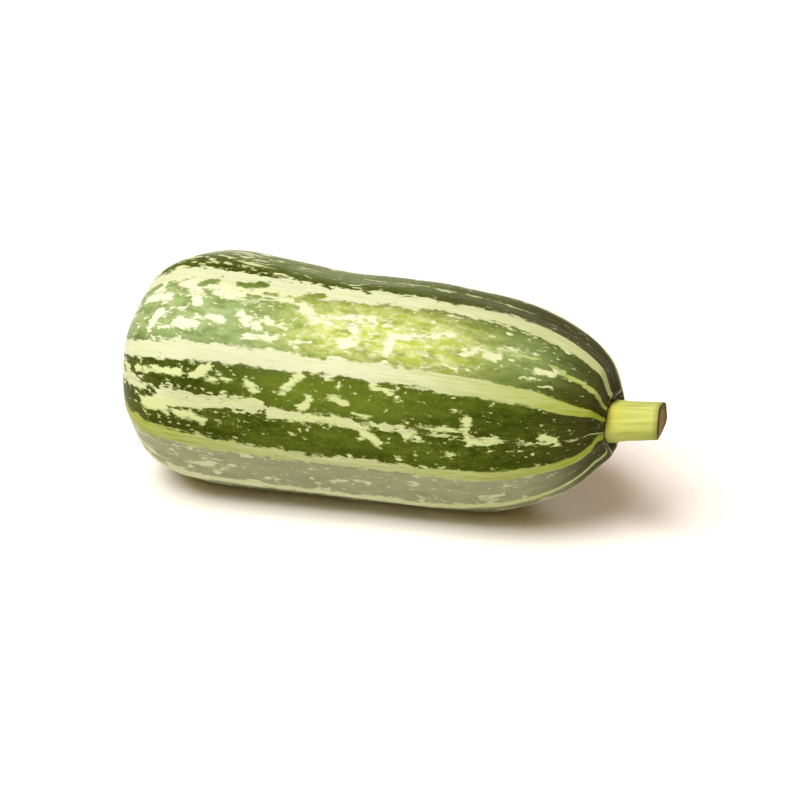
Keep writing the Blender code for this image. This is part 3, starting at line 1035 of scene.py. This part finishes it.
def skin_material(colours):
    """Waxy green skin with pale torn stripes and flecks, a painted sheen, a yellow-green patch with a
    painted highlight, a grey underside with a painted reflection of the floor, and painted shade at the
    stalk's end.
    """
    book = NodeBook(bpy.data.materials.new("marrow_skin"))
    # The yellow-green patch with its painted highlight, the painted sheen, and the grey underside with
    # its painted reflection of the floor
    yellow_and_highlight = book.field("yellow_and_highlight")
    painted_sheen = book.field("painted_sheen")
    bloom_and_floor_reflection = book.field("bloom_and_floor_reflection")
    wander = book.times(book.add(book.shades(TEARS), book.shades(TEETH)), TORN_BY)
    ragged = book.times(wander, book.field("stripe_ragged"))
    edge, stripe = torn_inside(book, book.field("stripe_cover"), ragged)
    blotch = torn_inside(book, book.field("blotch_cover"), wander)[1]
    solid = book.less(1.0, torn_inside(book, book.field("gap_cover"), wander)[1])
    fleck = skin_flecks(book, book.step(edge, *BESIDE_STRIPES), blotch)
    green = stalk_end_green(book, colours, skin_green(book, colours, yellow_and_highlight, painted_sheen, bloom_and_floor_reflection))

    mottle = book.times(book.shades(MOTTLE), MOTTLE_SHARE)
    olive = book.add(book.field("stripe_tone"), mottle, clamp=True)
    pale = book.mix(olive, colours.cream, colours.olive)
    spot = book.mix(book.times(olive, OLIVE_FLECKS), colours.fleck, colours.olive)
    # Flecks greyed in the underside by the painted reflection of the floor, and whitened under the
    # painted sheen and highlight
    spot = book.mix(book.times(bloom_and_floor_reflection, FLECKS_IN_BLOOM_AND_REFLECTION), spot, colours.frost_and_reflection)
    spot = book.mix(book.times(book.larger(painted_sheen, yellow_and_highlight), HIGHLIT_FLECKS), spot, colours.highlit_fleck)
    skin = book.mix(book.times(fleck, solid), green, spot)
    skin = book.mix(book.times(stripe, solid), skin, pale)
    # Painted shade in the seam at the stalk's foot
    skin = book.mix(book.times(book.field("seam"), PAINTED_SEAM_SHADE), skin, colours.seam)
    skin = book.mix(book.field("scar"), skin, colours.scar)
    return book.finish(skin, SKIN_SURFACE, GRAIN)


def stalk_material(colours):
    """Pale ridged flesh with green streaks, and a dried cut."""
    book = NodeBook(bpy.data.materials.new("stalk_flesh"))
    greener = book.add(book.edged_marks(FLESH_STREAKS), book.edged_marks(FLESH_BANDS))
    side = book.mix(greener, colours.pale, colours.green)
    side = book.mix(book.times(book.field("ripe"), RIPE_SHARE), side, colours.ripe)
    side = book.mix(book.times(book.field("under_tip"), UNDER_TIP_SHARE), side, colours.green)
    side = book.mix(book.times(book.field("near_tip"), BROWNED_TIP), side, colours.rim)
    face = book.mix(book.step(book.field("cut"), *PITH_EDGE), colours.rim, colours.pith)
    face = book.mix(book.edged_marks(FIBRES), face, colours.rim)
    flesh = book.mix(book.field("on_cut"), side, face)
    return book.finish(flesh, STALK_SURFACE, FLESH_GRAIN)


def dress(piece, node, material):
    """Gives a piece its material and puts it in the place of its solid."""
    piece.data.materials.append(material)
    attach(piece, "root")
    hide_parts(node)


class MARROW_OT_fruit(bpy.types.Operator):
    """Make the ribbed, striped fruit"""

    bl_idname = "mesh.marrow_fruit"
    bl_label = "Fruit"

    def execute(self, context):
        sizes = context.scene.marrow_fruit
        points, poles, fields, heights, seat = fruit_points(sizes)
        piece = make_tube("marrow_fruit", points, poles, fields, heights)
        piece["seat"] = seat.tolist()
        dress(piece, "fruit", skin_material(context.scene.marrow_skin))
        return {"FINISHED"}


class MARROW_OT_stalk(bpy.types.Operator):
    """Make the short cut stalk in the fruit's dimple"""

    bl_idname = "mesh.marrow_stalk"
    bl_label = "Stalk"

    def execute(self, context):
        seat = np.array(bpy.data.objects["marrow_fruit"]["seat"])
        points, poles, fields, heights = stalk_points(context.scene.marrow_stalk, seat)
        piece = make_tube("marrow_stalk", points, poles, fields, heights)
        dress(piece, "stalk", stalk_material(context.scene.marrow_stalk_colours))
        return {"FINISHED"}


def soft_light(name, power, place, aim, width):
    """A square white area light that faces a point."""
    light = bpy.data.lights.new(name, "AREA")
    light.shape = "SQUARE"
    light.size = width
    light.energy = power
    lamp = bpy.data.objects.new(name, light)
    lamp.location = place
    lamp.rotation_euler = (Vector(aim) - Vector(place)).to_track_quat("-Z", "Y").to_euler()
    bpy.context.scene.collection.objects.link(lamp)


def make_floor(colour_value):
    """A wide plain floor that stays pale out to its edge."""
    mesh = bpy.data.meshes.new("stage_floor")
    signs = ((-1, -1), (1, -1), (1, 1), (-1, 1))
    corners = [(x * FLOOR_HALF, y * FLOOR_HALF, -FLOOR_DROP) for x, y in signs]
    mesh.from_pydata(corners, [], [(0, 1, 2, 3)])
    floor = bpy.data.objects.new("stage_floor", mesh)
    bpy.context.scene.collection.objects.link(floor)
    book = NodeBook(bpy.data.materials.new("stage_floor"))
    shader = book.tree.nodes["Principled BSDF"]
    shader.inputs["Base Color"].default_value = (*colour_value, 1)
    shader.inputs["Roughness"].default_value = FLOOR_ROUGHNESS
    shader.inputs["Specular IOR Level"].default_value = FLOOR_GLOSS
    shader.inputs["Emission Color"].default_value = (1, 1, 1, 1)
    place = book.tree.nodes.new("ShaderNodeTexCoord")
    reach = book.tree.nodes.new("ShaderNodeVectorMath")
    reach.operation = "LENGTH"
    book.feed(reach.inputs[0], place.outputs["Object"])
    glow = book.step(reach.outputs["Value"], GLOW_START, FLOOR_HALF, top=GLOW, kind="LINEAR")
    book.feed(shader.inputs["Emission Strength"], glow)
    mesh.materials.append(book.owner)


def make_sky(sky, horizon):
    """Pale all round at the horizon, and a dim warm light from above."""
    book = NodeBook(bpy.data.worlds.new("stage_sky"))
    place = book.tree.nodes.new("ShaderNodeTexCoord")
    split = book.tree.nodes.new("ShaderNodeSeparateXYZ")
    book.feed(split.inputs[0], place.outputs["Generated"])
    rise = book.step(split.outputs["Z"], *SKY_RISE)
    book.feed(book.tree.nodes["Background"].inputs["Color"], book.mix(rise, horizon, sky))
    bpy.context.scene.world = book.owner


def make_camera():
    """The camera at the photograph's angle."""
    turn = math.radians(VIEW_TURN)
    tilt = math.radians(VIEW_TILT)
    level = math.cos(tilt)
    ahead = Vector((-math.sin(turn) * level, math.cos(turn) * level, -math.sin(tilt)))
    right = Vector((math.cos(turn), math.sin(turn), 0))
    up = right.cross(ahead)
    data = bpy.data.cameras.new("view")
    data.lens = LENS
    data.sensor_width = SENSOR
    camera = bpy.data.objects.new("view", data)
    place = Vector(VIEW_AIM) + right * VIEW_RIGHT + up * VIEW_UP - ahead * VIEW_DISTANCE
    camera.matrix_world = Matrix.Translation(place) @ Matrix((right, up, -ahead)).transposed().to_4x4()
    bpy.context.scene.collection.objects.link(camera)
    bpy.context.scene.camera = camera


class MARROW_OT_stage(bpy.types.Operator):
    """Make the plain floor, the soft light and the camera"""

    bl_idname = "scene.marrow_stage"
    bl_label = "Stage"

    def execute(self, context):
        look = context.scene.marrow_stage
        make_floor(look.floor)
        make_sky(look.sky, look.horizon)
        soft_light("key", look.key_power, *KEY_LIGHT)
        soft_light("wash", look.wash_power, *WASH_LIGHT)
        make_camera()
        context.scene.view_settings.view_transform = "Standard"
        return {"FINISHED"}


class MARROW_PT_panel(bpy.types.Panel):
    """Sizes, colours and pieces of the marrow"""

    bl_label = "Marrow"
    bl_idname = "MARROW_PT_panel"
    bl_space_type = "VIEW_3D"
    bl_region_type = "UI"
    bl_category = "Marrow"

    def draw(self, context):
        for operator in OPERATORS:
            self.layout.operator(operator.bl_idname)
        for title, group in GROUPS.items():
            box = self.layout.box()
            box.label(text=group.__doc__)
            values = getattr(context.scene, title)
            for name in group.__annotations__:
                box.prop(values, name)


GROUPS = {
    "marrow_fruit": MarrowFruitSizes,
    "marrow_stalk": MarrowStalkSizes,
    "marrow_skin": MarrowSkinColours,
    "marrow_stalk_colours": MarrowStalkColours,
    "marrow_stage": MarrowStage,
}
OPERATORS = (MARROW_OT_fruit, MARROW_OT_stalk, MARROW_OT_stage)


def register():
    """Make the property groups, operators and panel known to Blender."""
    for title, group in GROUPS.items():
        bpy.utils.register_class(group)
        setattr(bpy.types.Scene, title, PointerProperty(type=group))
    for operator in OPERATORS:
        bpy.utils.register_class(operator)
    bpy.utils.register_class(MARROW_PT_panel)


def unregister():
    """Take them away again."""
    bpy.utils.unregister_class(MARROW_PT_panel)
    for operator in reversed(OPERATORS):
        bpy.utils.unregister_class(operator)
    for title, group in reversed(GROUPS.items()):
        delattr(bpy.types.Scene, title)
        bpy.utils.unregister_class(group)


def main():
    """Make the pieces and the stage."""
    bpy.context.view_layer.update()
    register()
    bpy.ops.mesh.marrow_fruit()
    bpy.ops.mesh.marrow_stalk()
    bpy.ops.scene.marrow_stage()
    bpy.context.view_layer.update()


if __name__ == "__main__":
    main()
